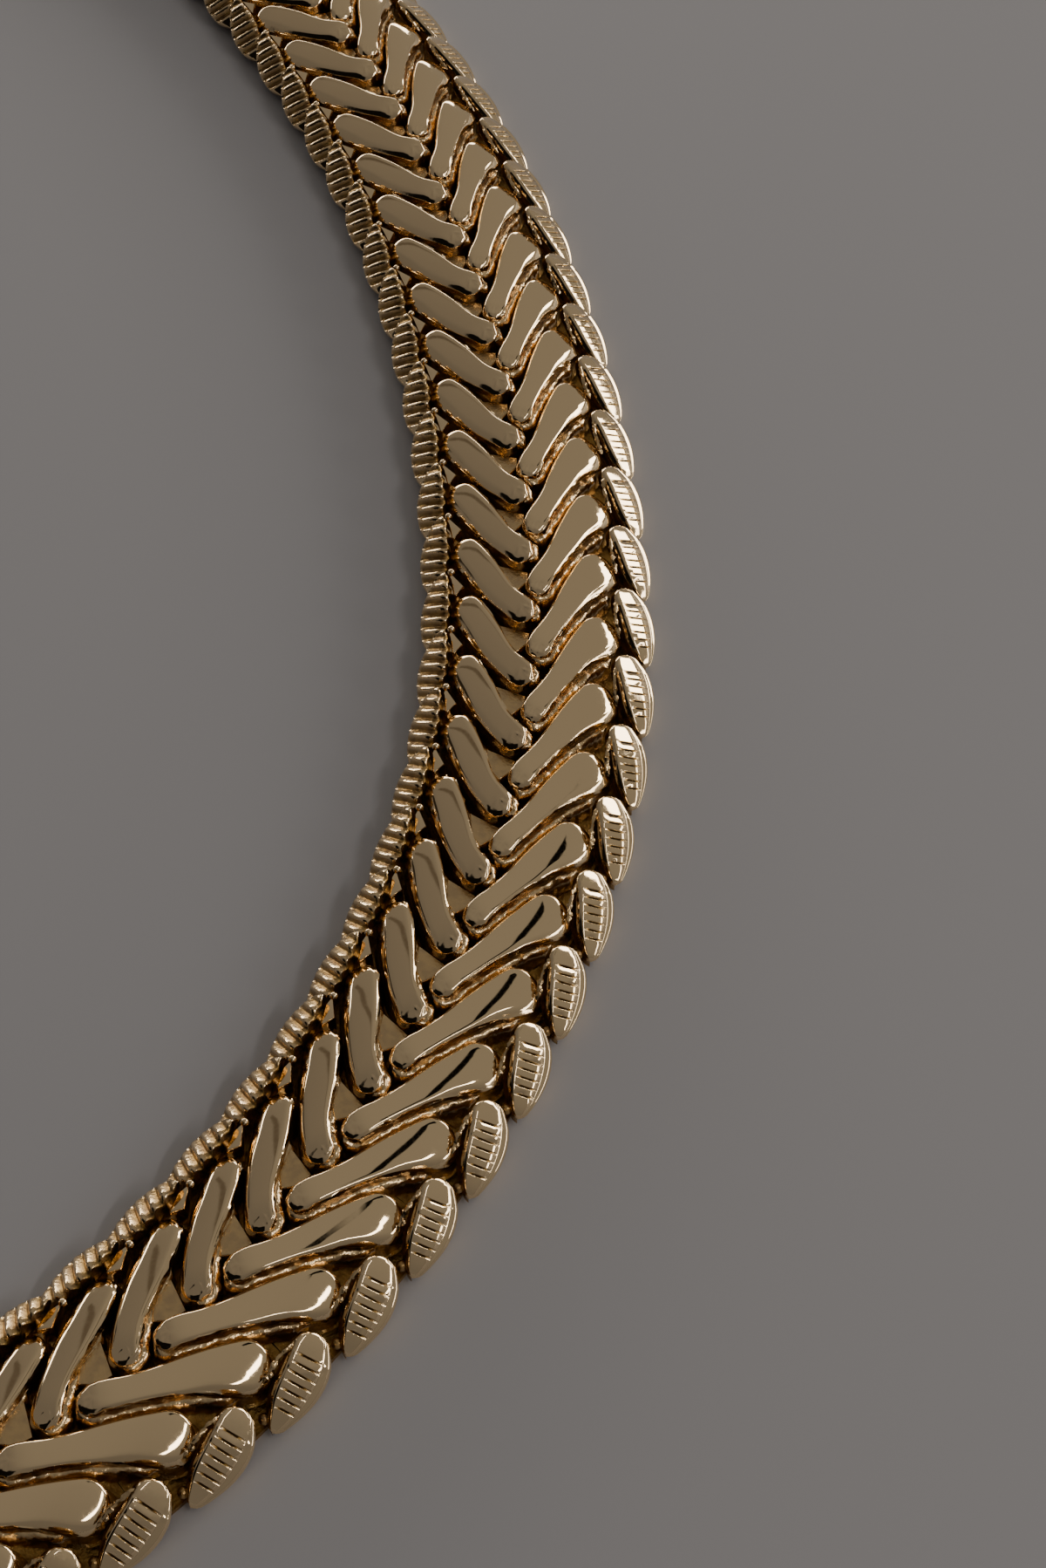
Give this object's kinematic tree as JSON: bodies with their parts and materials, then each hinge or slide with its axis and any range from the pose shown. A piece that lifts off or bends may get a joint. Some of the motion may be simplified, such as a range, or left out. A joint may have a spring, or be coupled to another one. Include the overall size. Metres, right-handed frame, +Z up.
{
  "type": "braided mesh choker",
  "caption": "Closed oval choker of cast chevron links in a wide flat braid, with a plain box clasp at the back, worn close round the neck.",
  "frame": {"origin": "centre of the oval loop on the plane it lies on", "axes": "+X to the wearer's left side of the loop, +Y from the front of the loop to the clasp at the back, +Z up from the surface to the face that shows"},
  "size_m": [0.1256, 0.1523, 0.0035],
  "materials": {
    "gold": "polished"
  },
  "bodies": {
    "root": {"front_run_1": "gold", "front_run_2": "gold", "front_run_3": "gold", "front_run_4": "gold", "right_run_1": "gold", "right_run_2": "gold", "back_right_run_1": "gold", "back_right_run_2": "gold", "clasp": "gold", "back_left_run_1": "gold", "back_left_run_2": "gold", "left_run_1": "gold", "left_run_2": "gold"}
  },
  "joints": []
}
